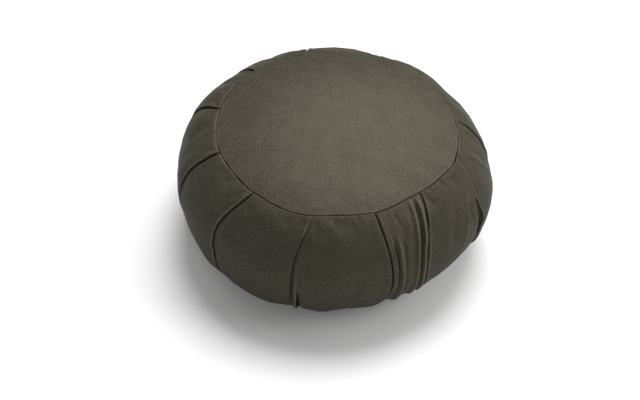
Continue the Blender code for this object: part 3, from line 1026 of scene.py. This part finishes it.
# the painted highlights on crests, edges and ridges with the bottom's real wear, and the painted pool of light on the
# top
RUB_AND_HIGHLIGHT_TONE = 0.8
PAINTED_TOP_LIGHT_TONE = 0.52
BUMP_STRENGTH = 0.35
BUMP_HEIGHT = 0.25 * MM


def twill(name, shade, fleck=0.5, slub=0.7, mottle=0.25):
    """Olive twill: how light it is, how strongly it is flecked, how uneven its threads and its dye are."""
    material = bpy.data.materials.new(name)
    nodes = Nodes(material)
    # the third attribute holds the painted pool of light on the middle of the top
    weave, wear, fade = (nodes.add("ShaderNodeAttribute", attribute_name=key) for key in ("weave", "wear", "faded"))
    place, worn_and_highlit, faded = weave.outputs["Vector"], wear.outputs["Fac"], fade.outputs["Fac"]
    parts = nodes.add("ShaderNodeSeparateXYZ")
    nodes.wire(place, parts.inputs[0])

    across = nodes.math("ADD", parts.outputs["X"], parts.outputs["Y"])
    phase = nodes.total((across, 2 * math.pi / TWILL_PITCH), (nodes.noise(place, WANDER_SCALE, 1.0), RIB_WANDER))
    rib = nodes.math("SINE", phase)
    warp, weft = (nodes.noise(nodes.stretched(place, scale), 1.0) for scale in (WARP_STRETCH, WEFT_STRETCH))
    fibres = nodes.math("MAXIMUM", nodes.noise(place, FIBRE_SCALE, 3.0, 0.7), 0.0)
    blotch = nodes.noise(place, BLOTCH_SCALE, 4.0, 0.6)
    # lighter on lip crests, seam edges and handle ridges as painted highlight, and on the bottom's standing ring as
    # real wear, broken up by noise
    rub_and_highlight = nodes.math("MULTIPLY", worn_and_highlit, nodes.total((nodes.noise(place, RUB_AND_HIGHLIGHT_SCALE, 2.0), 2.2), (1.0, 0.8)))

    cloth = ((warp, slub), (weft, slub), (fibres, 4 * fleck), (blotch, mottle), (rib, RIB_TONE))
    # the painted pool of light lightens the middle of the top
    tone = nodes.total(*cloth, (rub_and_highlight, RUB_AND_HIGHLIGHT_TONE), (faded, PAINTED_TOP_LIGHT_TONE))
    tone = nodes.math("ADD", tone, 1.0 - 0.3 * fleck)
    tint = nodes.add("ShaderNodeVectorMath", operation="SCALE")
    tint.inputs[0].default_value = tuple(channel * shade for channel in OLIVE)
    nodes.wire(tone, tint.inputs["Scale"])
    nodes.wire(tint.outputs["Vector"], nodes.shader.inputs["Base Color"])

    bump = nodes.add("ShaderNodeBump")
    bump.inputs["Strength"].default_value = BUMP_STRENGTH
    bump.inputs["Distance"].default_value = BUMP_HEIGHT
    nodes.wire(nodes.total((rib, 0.35), (warp, 1.0), (weft, 1.0), (fibres, 0.8)), bump.inputs["Height"])
    nodes.wire(bump.outputs["Normal"], nodes.shader.inputs["Normal"])
    nodes.wire(nodes.total((warp, 0.2), (weft, 0.2), (1.0, 0.5)), nodes.shader.inputs["Roughness"])
    nodes.shader.inputs["Specular IOR Level"].default_value = GLEAM_LEVEL
    nodes.shader.inputs["Specular Tint"].default_value = (*GLEAM, 1.0)
    return material


print("olive brown", OLIVE)

# %% [markdown]
# Each row of the band stands where the side's round form has it, lifted by everything that shapes the cloth: the
# pleats, the swell, the soft folds, the lumps, the puckers and the two seams. Sculpting by hand could add them too,
# but as a sum of parts each one can be changed alone.

# %% What lifts the side
LIFT_REACH = 0.06
SIDE_LUMPS = (
    # height in mm, wavelength in mm, seed
    (0.7, 55, 11), (0.22, 16, 12),
)
PUCKER_HEIGHT = 0.30 * MM
PUCKER_REACH = 11 * MM
PUCKER_START = 1.5 * MM
SIDE_TURNS = (55, 120)
FOOT_SEAM_DEPTH = 1 * MM


def side_lift(share, angles, lifts):
    """The lift of one row with everything that is added to the pleats' own."""
    fade = end_fade(share, LIFT_REACH)
    from_top, from_foot = share * SIDE_LENGTH, (1 - share) * SIDE_LENGTH
    lifts = lifts + swell(SIDE_SWELL, share, share, angles) + fade * soft_folds(share, angles)
    lifts = lifts + fade * lumps(side_point(share, angles, 0.0), SIDE_LUMPS)
    for distance, seed in ((from_top, PUCKER_SEED), (from_foot, PUCKER_SEED + 1)):
        drawn = np.exp(-distance / PUCKER_REACH) * np.clip(distance / PUCKER_START, 0, 1)
        lifts = lifts + PUCKER_HEIGHT * drawn * puckers(angles, SIDE_TURNS, seed)
    return lifts - roll(from_top, seam_depth(angles)) - roll(from_foot, FOOT_SEAM_DEPTH)


belly_lift = side_lift(BELLY_SHARE, *side_row(BELLY_SHARE)[:2])
print("at the belly the cloth lies", round(belly_lift.min() / MM, 1), "to", round(belly_lift.max() / MM, 1), "mm out")

# %% [markdown]
# The band is one closed body: it runs on under the top panel and over the bottom one. Only its pleated side shows,
# so a strip would do for a picture, but a filled body has to be closed. Its rows run from the middle of the top to
# the middle of the bottom, and the hidden parts need only a few of them.

# %% The pleated band
LIP_REACH = 0.1
UNDER_TOP = (
    # part of the way out to the seam, and how far below the top panel in mm
    (0.3, 2.6), (0.75, 2.6), (0.94, 3.4), (0.985, 6.0),
)
OVER_BOTTOM = (
    # radius and height
    (FOOT_RADIUS - 1.5 * MM, 6.4 * MM), (FLAT_RADIUS, 2.6 * MM), (FLAT_RADIUS / 2, 2.4 * MM),
)


def hidden_rows():
    """The rows of the band under the top panel and over the bottom one."""
    rim, foot = side_row(0.0)[0], side_row(1.0)[0]
    radius = sewn_radius(rim)
    above = [round_points(radius * part, crown(part) - PANEL_CLOTH - drop * MM, rim) for part, drop in UNDER_TOP]
    return above, [round_points(reach, height, foot) for reach, height in OVER_BOTTOM]


def build_band(material):
    rows, wears = [], []
    for share in SIDE_SHARES:
        angles, lifts, lip_highlight = side_row(share)
        points = side_point(share, angles, side_lift(share, angles, lifts))
        # the band's rolled edge at the top seam gets a painted highlight, left out along the back
        seam_edge = seam_wear(share * SIDE_LENGTH) * (1 - seam_back(angles))
        rows.append(points)
        wears.append(np.maximum(lip_highlight * end_fade(share, LIP_REACH), seam_edge))
    belly = rows[int(np.argmin(np.abs(SIDE_SHARES - BELLY_SHARE)))]
    above, below = hidden_rows()
    count = len(belly)
    rows = above + rows + below
    wears = [np.zeros(count)] * len(above) + wears + [np.zeros(count)] * len(below)

    round_way = running(np.linalg.norm(np.diff(belly, axis=0), axis=1))
    down_way = running([np.linalg.norm(after - before, axis=1).mean() for before, after in zip(rows, rows[1:])])
    weave = np.stack(np.broadcast_arrays(round_way, down_way[:, None], 0.0), -1).reshape(-1, 3)

    middles = [(0, 0, crown(0) - PANEL_CLOTH - UNDER_TOP[0][1] * MM), (0, 0, OVER_BOTTOM[-1][1])]
    points = np.concatenate([*rows, middles])
    weave = np.concatenate([weave, np.zeros((2, 3))])
    wear = np.concatenate([*wears, [0, 0]])
    return new_piece("pleated_cover", points, turned_faces(len(rows), count), weave, wear, material)


band = build_band(twill("band_cloth", 1.15))
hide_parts("pleated_band")

# %% [markdown]
# The top panel is a single disc of cloth, sewn in with its edge turned down, crowned by the fill and a little
# uneven. It could be a flat disc pushed up by a modifier, but rings of points, each at its own height, put the
# finest rows where the cloth rolls into the seam.

# %% Rings of the top panel
PANEL_RINGS = 56
INNER_RING = 0.02
NEAR_RIM = (4.8, 3.2, 2.1, 1.4, 1.1, 0.85, 0.6, 0.38, 0.2, 0.06, 0.0)
SEAM_WAVER = 0.25 * MM
SEAM_GAP_FRONT = 0.22 * MM
TOP_DROP = 0.5 * MM
TOP_RISE_BACK = 1.1 * MM
RISE_REACH = 9 * MM
PANEL_LUMPS = ((0.55, 70, 41), (0.1925, 22, 42))
LUMP_START = 12 * MM
PANEL_PUCKER = 0.22 * MM
PANEL_TURNS = (50, 110)


def panel_shares():
    """The parts of the way out at which the rings stand, closer together near the rim, where the cloth rolls."""
    near = 1 - np.array(NEAR_RIM) * MM / SEAM_RADIUS
    return np.concatenate([np.linspace(INNER_RING, near[0], PANEL_RINGS)[:-1], near])


def top_ring(part, degrees, drop):
    """One ring of the top panel at a part of the way out to the seam, lowered by a drop."""
    rim = sewn_radius(degrees) + SEAM_WAVER * puckers(degrees, SEAM_TURNS, PUCKER_SEED + 5)
    radius = part * (rim - GAP / 2 - SEAM_GAP_FRONT * seam_front(degrees))
    flat = round_points(radius, 0.0, degrees)
    from_seam = (1 - part) * SEAM_RADIUS
    height = crown(part) - TOP_DROP + lumps(flat, PANEL_LUMPS) * min(1, from_seam / LUMP_START)
    near = math.exp(-from_seam / RISE_REACH)
    drawn = near * min(1, from_seam / PUCKER_START)
    height = height + PANEL_PUCKER * drawn * puckers(degrees, PANEL_TURNS, PUCKER_SEED + 2)
    along = max(0.0, (part - NET_MIDDLE) / (1 - NET_MIDDLE))
    height = height + swell(TOP_SWELL, along, 0.0, degrees) * min(1, part / NET_MIDDLE)
    height = height + TOP_RISE_BACK * near * seam_back(degrees) - roll(from_seam, seam_depth(degrees))
    flat[..., 2] = height - drop
    return flat


print(len(panel_shares()), "rings in the top panel")

# %% [markdown]
# A second, lower face gives the top panel the cloth's thickness. Its middle gets a painted pool of light: a value
# stored at each point lightens the cloth itself there, so it stays lighter from every side.

# %% The top panel
PANEL_COLUMNS = 360
PANEL_ANGLES = np.arange(PANEL_COLUMNS) * 360 / PANEL_COLUMNS
MIDDLE_POINT = 0.001
HIDDEN_STEP = 5
GRAIN_TURN = 24.0
PANEL_WEAR_AND_HIGHLIGHT = 0.5
TOP_LIGHT_MIDDLE = (30 * MM, -17 * MM)
TOP_LIGHT_REACH = 108 * MM


def build_top_panel(material):
    shares = panel_shares()
    upper = [top_ring(part, PANEL_ANGLES, 0.0) for part in shares]
    under = [top_ring(part, PANEL_ANGLES, PANEL_CLOTH) for part in shares[::-HIDDEN_STEP]]
    rows = upper + under
    middle = top_ring(MIDDLE_POINT, PANEL_ANGLES, 0.0)[0, 2]
    points = np.concatenate([*rows, [(0, 0, middle), (0, 0, middle - PANEL_CLOTH)]])
    weave = points @ np.array(Matrix.Rotation(math.radians(GRAIN_TURN), 3, "Z"))
    weave[:, 2] = 0
    # the top's rolled edge beside the seam gets a painted highlight, weaker than the band's and left out along the
    # back
    edge = [PANEL_WEAR_AND_HIGHLIGHT * seam_wear((1 - part) * SEAM_RADIUS) * (1 - seam_back(PANEL_ANGLES)) for part in shares]
    wear = np.concatenate(edge + [np.zeros(PANEL_COLUMNS)] * len(under) + [np.zeros(2)])
    panel = new_piece("top_cover", points, turned_faces(len(rows), PANEL_COLUMNS), weave, wear, material)
    # the middle of the top, a little right of and in front of the centre, is painted lighter as a pool of light
    store(panel.data, "faded", np.exp(-((np.linalg.norm(points[:, :2] - TOP_LIGHT_MIDDLE, axis=1) / TOP_LIGHT_REACH) ** 4)))
    return panel


# the top's cloth is a lighter copy of the band's olive, painted lighter to stand in for the light falling on the top
top = build_top_panel(twill("top_cloth", 1.28, fleck=1.0, slub=0.8, mottle=0.5))
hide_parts("top_panel")

# %% [markdown]
# The bottom panel lies flat on the floor under the weight of the fill and turns up to its seam. It is seen only
# when the cushion is turned over, and a plain disc would pass. It is still made with care, in rings as the top is:
# a sheet with a rolled edge, a few puckers, and a rubbed ring where it stands.

# %% The bottom panel
FLAT_RINGS = 12
TURNED_RINGS = 14
FIRST_RING = 0.1
INNER_STEP = 3
FOOT_RISE = 1 * MM
LIP_RISE = 0.8 * MM
LIP_WIDTH = 2 * MM
STANDS_ON = 116 * MM
STANDS_WIDTH = 6 * MM


def bottom_ring(radius, degrees, lift):
    """One ring of the bottom panel, which never goes below the floor, lifted by a lift."""
    along = max(0.0, radius - FLAT_RADIUS) / (FOOT_RADIUS - FLAT_RADIUS)
    from_seam = FOOT_RADIUS - radius
    pucker = PUCKER_HEIGHT * along * (1 - along) * 4 * puckers(degrees, PANEL_TURNS, PUCKER_SEED + 3)
    lip = LIP_RISE * math.exp(-from_seam / LIP_WIDTH)
    height = (FOOT_HEIGHT + FOOT_RISE) * along**TURN_UP_POWER + lip + lift
    return round_points(radius - GAP / 2, np.maximum(height + pucker, lift), degrees)


def build_bottom_panel(material):
    turned = np.linspace(FLAT_RADIUS, FOOT_RADIUS, TURNED_RINGS)[1:]
    radii = np.concatenate([np.linspace(FIRST_RING, 1, FLAT_RINGS) * FLAT_RADIUS, turned])
    lower = [bottom_ring(radius, PANEL_ANGLES, 0.0) for radius in radii[::-1]]
    upper = [bottom_ring(radius, PANEL_ANGLES, PANEL_CLOTH) for radius in radii[::INNER_STEP]]
    rows = upper + lower
    points = np.concatenate([*rows, [(0, 0, PANEL_CLOTH), (0, 0, 0)]])
    weave = points * (1, 1, 0)
    from_ring = np.hypot(points[:, 0], points[:, 1]) - STANDS_ON
    wear = PANEL_WEAR_AND_HIGHLIGHT * np.exp(-((from_ring / STANDS_WIDTH) ** 2))
    return new_piece("bottom_cover", points, turned_faces(len(rows), PANEL_COLUMNS), weave, wear, material)


bottom = build_bottom_panel(twill("bottom_cloth", 1.0))
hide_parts("bottom_panel")

# %% [markdown]
# The handle is a doubled strip, folded under at both edges and topstitched. Gathered at the belly, it has folded
# itself into long ridges. The ridges are rows of a table: across the strip, how high, how wide, and from where to
# where; a cloth simulation could find folds of its own, but not these ones.

# %% The folds of the handle
STRAP_FOLDS = (
    # part of the width at the top, at the belly, at the foot, height in mm, half width, where it starts and ends
    (0.03, 0.03, 0.03, 1.0, 0.050, -0.10, 1.10),
    (0.18, 0.27, 0.31, 2.9, 0.060, 0.15, 0.92),
    (0.55, 0.58, 0.58, 1.0, 0.120, 0.00, 0.28),
    (0.725, 0.74, 0.70, 2.8, 0.065, -0.05, 1.05),
    (0.885, 0.94, 0.90, 2.9, 0.060, -0.05, 1.05),
)
STRAP_GROOVES = (
    # part of the width at the top, at the belly, at the foot, depth in mm, half width, where it starts and ends
    (0.125, 0.125, 0.125, 0.25, 0.022, -0.10, 1.10),
    (0.15, 0.175, 0.185, 3.6, 0.042, 0.20, 0.97),
    (0.36, 0.39, 0.41, 1.3, 0.055, 0.18, 0.80),
    (0.30, 0.45, 0.46, 1.2, 0.070, -0.04, 0.20),
    (0.805, 0.845, 0.795, 1.6, 0.065, -0.05, 1.05),
    (0.805, 0.842, 0.798, 4.2, 0.046, 0.12, 1.05),
)
FOLD_SHARES = (0.0, 0.25, 0.8)


def across_bumps(table, share, across, roundness):
    """The highest of the table's long bumps at a share of the way down; a lower power is a rounder bump."""
    height = np.zeros(len(across))
    for top, belly, foot, tall, half_width, starts, ends in table:
        grown = eased(min(share - starts, ends - share), 0, STRAP_REACH)
        middle = np.interp(share, FOLD_SHARES, (top, belly, foot))
        near = np.clip(np.abs(across - middle) / half_width, 0, 1)
        height = np.maximum(height, tall * MM * grown * ((1 + np.cos(math.pi * near)) / 2) ** roundness)
    return height


print(len(STRAP_FOLDS), "ridges and", len(STRAP_GROOVES), "grooves run down the handle")

# %% [markdown]
# The handle lies in its trough with a little air under it, thin where its ends are caught in the seams and thicker
# between them. Wrapping a flat strip onto the side would lose that air. So its upper face is a sum, as the side's is:
# the run over the trough, the ridges and grooves, a few lumps, the turned edges and the dive into both seams.

# %% How the handle lies
STRAP_CLOTH = 2.2 * MM
STRAP_END_CLOTH = 1.4 * MM
STRAP_CLEARANCE = 0.8 * MM
RIDGE_POWER = 0.45
GROOVE_POWER = 0.8
GROOVE_END_PART = 0.25
STRAP_LUMPS = ((0.25, 14, 61),)
STRAP_EDGE = 0.03
STRAP_EDGE_ROLL = 0.9 * MM
STRAP_SEAM_DEPTHS = (4 * MM, 1.2 * MM)


def strap_degrees(share, across):
    """The angles of places across the strip, from 0 at its left edge to 1 at its right one."""
    left, right = strap_edge(share, -1), strap_edge(share, 1)
    return left + (right - left) * across


def under_strap(share):
    """The height of the strip's lower face, which stays clear of the trough."""
    return GAP + (STRAP_CLEARANCE - GAP) * end_fade(share, STRAP_REACH) - trough_depth(share)


def strap_lift(share, across):
    """The height of the strip's upper face over the round form."""
    fade = end_fade(share, STRAP_REACH)
    lift = under_strap(share) + STRAP_END_CLOTH + (STRAP_CLOTH - STRAP_END_CLOTH) * fade
    lift = lift + fade * across_bumps(STRAP_FOLDS, share, across, RIDGE_POWER)
    deep = GROOVE_END_PART + (1 - GROOVE_END_PART) * fade
    lift = lift - deep * across_bumps(STRAP_GROOVES, share, across, GROOVE_POWER)
    lift = lift + fade * lumps(side_point(share, strap_degrees(share, across), 0.0), STRAP_LUMPS)
    edge = np.clip(np.minimum(across, 1 - across) / STRAP_EDGE, 0, 1)
    lift = lift - STRAP_EDGE_ROLL * (1 - np.sqrt(1 - (1 - edge) ** 2))
    at_top, at_foot = STRAP_SEAM_DEPTHS
    return lift - roll(share * SIDE_LENGTH, at_top) - roll((1 - share) * SIDE_LENGTH, at_foot)


def strap_point(share, across, extra=0.0):
    """Points on the strip's upper face."""
    return side_point(share, strap_degrees(share, across), strap_lift(share, across) + extra)


print("the handle's middle lies", round(float(strap_lift(BELLY_SHARE, np.array([0.5]))[0]) / MM, 1), "mm out")

# %% [markdown]
# The strip needs an upper and a lower face, joined by a narrow rim. A thickness modifier would do that in one click,
# but the strip grows thinner towards its caught ends and has to stay clear of the band, so both faces are built.
# Its columns stand closer together at the two edges, where the cloth turns over.

# %% The carry handle
STRAP_NEAR_SEAM = (0.2, 0.4, 0.7, 1.1, 1.7, 2.6, 3.8)
STRAP_MIDDLE_ROWS = 138
STRAP_SHARES = rows_down(STRAP_NEAR_SEAM, STRAP_MIDDLE_ROWS)
STRAP_COLUMNS = 96
EDGE_CLOSENESS = 0.35
STRAP_WIDTH = 54 * MM
THINNEST_CLOTH = 0.9 * MM
RIDGE_HIGHLIGHT_POWER = 0.8
RIDGE_HIGHLIGHT_HEIGHT = 3 * MM


def two_faced(rows, columns):
    """The faces of a grid, of a second one under it, and of the rim that joins them."""
    upper = row_faces(rows, columns, False)
    index = np.arange(rows * columns).reshape(rows, columns)
    rim = np.concatenate([index[:, 0], index[-1, 1:], index[-2::-1, -1], index[0, -2:0:-1]])
    after, under = np.roll(rim, -1), rows * columns
    edge = np.stack([after, after + under, rim + under, rim], -1)
    return np.concatenate([upper, upper[:, ::-1] + under, edge]).tolist()


def build_handle(material):
    even = np.linspace(0, 1, STRAP_COLUMNS)
    across = EDGE_CLOSENESS * (1 - np.cos(math.pi * even)) / 2 + (1 - EDGE_CLOSENESS) * even
    outer, inner, wear = [], [], []
    for share in STRAP_SHARES:
        lift = strap_lift(share, across)
        lowest = np.minimum(under_strap(share), lift - THINNEST_CLOTH)
        outer.append(strap_point(share, across))
        inner.append(side_point(share, strap_degrees(share, across), lowest))
        # the tops of the handle's ridges are painted lighter as a highlight
        wear.append((across_bumps(STRAP_FOLDS, share, across, RIDGE_HIGHLIGHT_POWER) / RIDGE_HIGHLIGHT_HEIGHT) ** 2)
    down = STRAP_SHARES * SIDE_LENGTH
    weave = np.stack(np.broadcast_arrays(down[:, None], STRAP_WIDTH * across, 0.0), -1).reshape(-1, 3)
    faces = two_faced(len(outer), STRAP_COLUMNS)
    wear = np.tile(np.concatenate(wear), 2)
    return new_piece("handle_cover", np.concatenate(outer + inner), faces, np.tile(weave, (2, 1)), wear, material)


handle = build_handle(twill("handle_cloth", 1.3))
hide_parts("carry_handle")

# %% [markdown]
# Two rows of topstitching hold the handle's folded edges. Each stitch is a short rounded thread that lies in its
# groove with both ends sunk into the cloth. Real threads are shown rather than painted ones, because the stitches
# stand proud of the cloth and catch the light.

# %% The topstitching
PROBE_LIFT = 1 * MM
STITCH_PITCH = 3.4 * MM
STITCH_LENGTH = 2.5 * MM
THREAD_RADIUS = 0.38 * MM
THREAD_SIDES = 6
STITCH_LINES = (
    # part of the width at the top, at the belly, at the foot
    (0.125, 0.125, 0.125), (0.865, 0.915, 0.875),
)
FIRST_STITCH = 0.03
STITCHED_PART = 0.93
STITCH_RINGS = (
    # part of its length, size, and how far it stands out of the cloth in thread radii
    (0.0, 0.35, -0.5), (0.12, 0.8, 0.1), (0.5, 1.0, 0.45), (0.88, 0.8, 0.1), (1.0, 0.35, -0.5),
)


def stitch_tube(first, last, out):
    """One stitch as rings of points from end to end, arched a little out of the cloth."""
    along = last - first
    side = np.cross(along, out)
    side /= np.linalg.norm(side)
    rings = []
    for part, size, rise in STITCH_RINGS:
        middle = first + along * part + out * rise * THREAD_RADIUS
        for corner in range(THREAD_SIDES):
            turn = 2 * math.pi * corner / THREAD_SIDES
            rings.append(middle + size * THREAD_RADIUS * (math.cos(turn) * side + math.sin(turn) * out))
    return rings


def stitch_faces(base):
    """The faces of one stitch whose first point is numbered base, with both ends closed."""
    first = list(range(base, base + THREAD_SIDES))
    last = [corner + (len(STITCH_RINGS) - 1) * THREAD_SIDES for corner in first]
    return (row_faces(len(STITCH_RINGS), THREAD_SIDES, True) + base).tolist() + [first, last[::-1]]


def build_stitches(material):
    points, faces = [], []
    for line in STITCH_LINES:
        for index in range(int(STITCHED_PART * SIDE_LENGTH / STITCH_PITCH)):
            start = FIRST_STITCH + index * STITCH_PITCH / SIDE_LENGTH
            first, last, lifted = (
                strap_point(share, np.interp([share], FOLD_SHARES, line), extra)[0]
                for share, extra in ((start, 0), (start + STITCH_LENGTH / SIDE_LENGTH, 0), (start, PROBE_LIFT))
            )
            faces += stitch_faces(len(points))
            points += stitch_tube(first, last, (lifted - first) / np.linalg.norm(lifted - first))
    points = np.array(points)
    return new_piece("handle_topstitch", points, faces, points, np.zeros(len(points)), material)


stitches = build_stitches(twill("handle_thread", 3.6, fleck=0.2))

# %% [markdown]
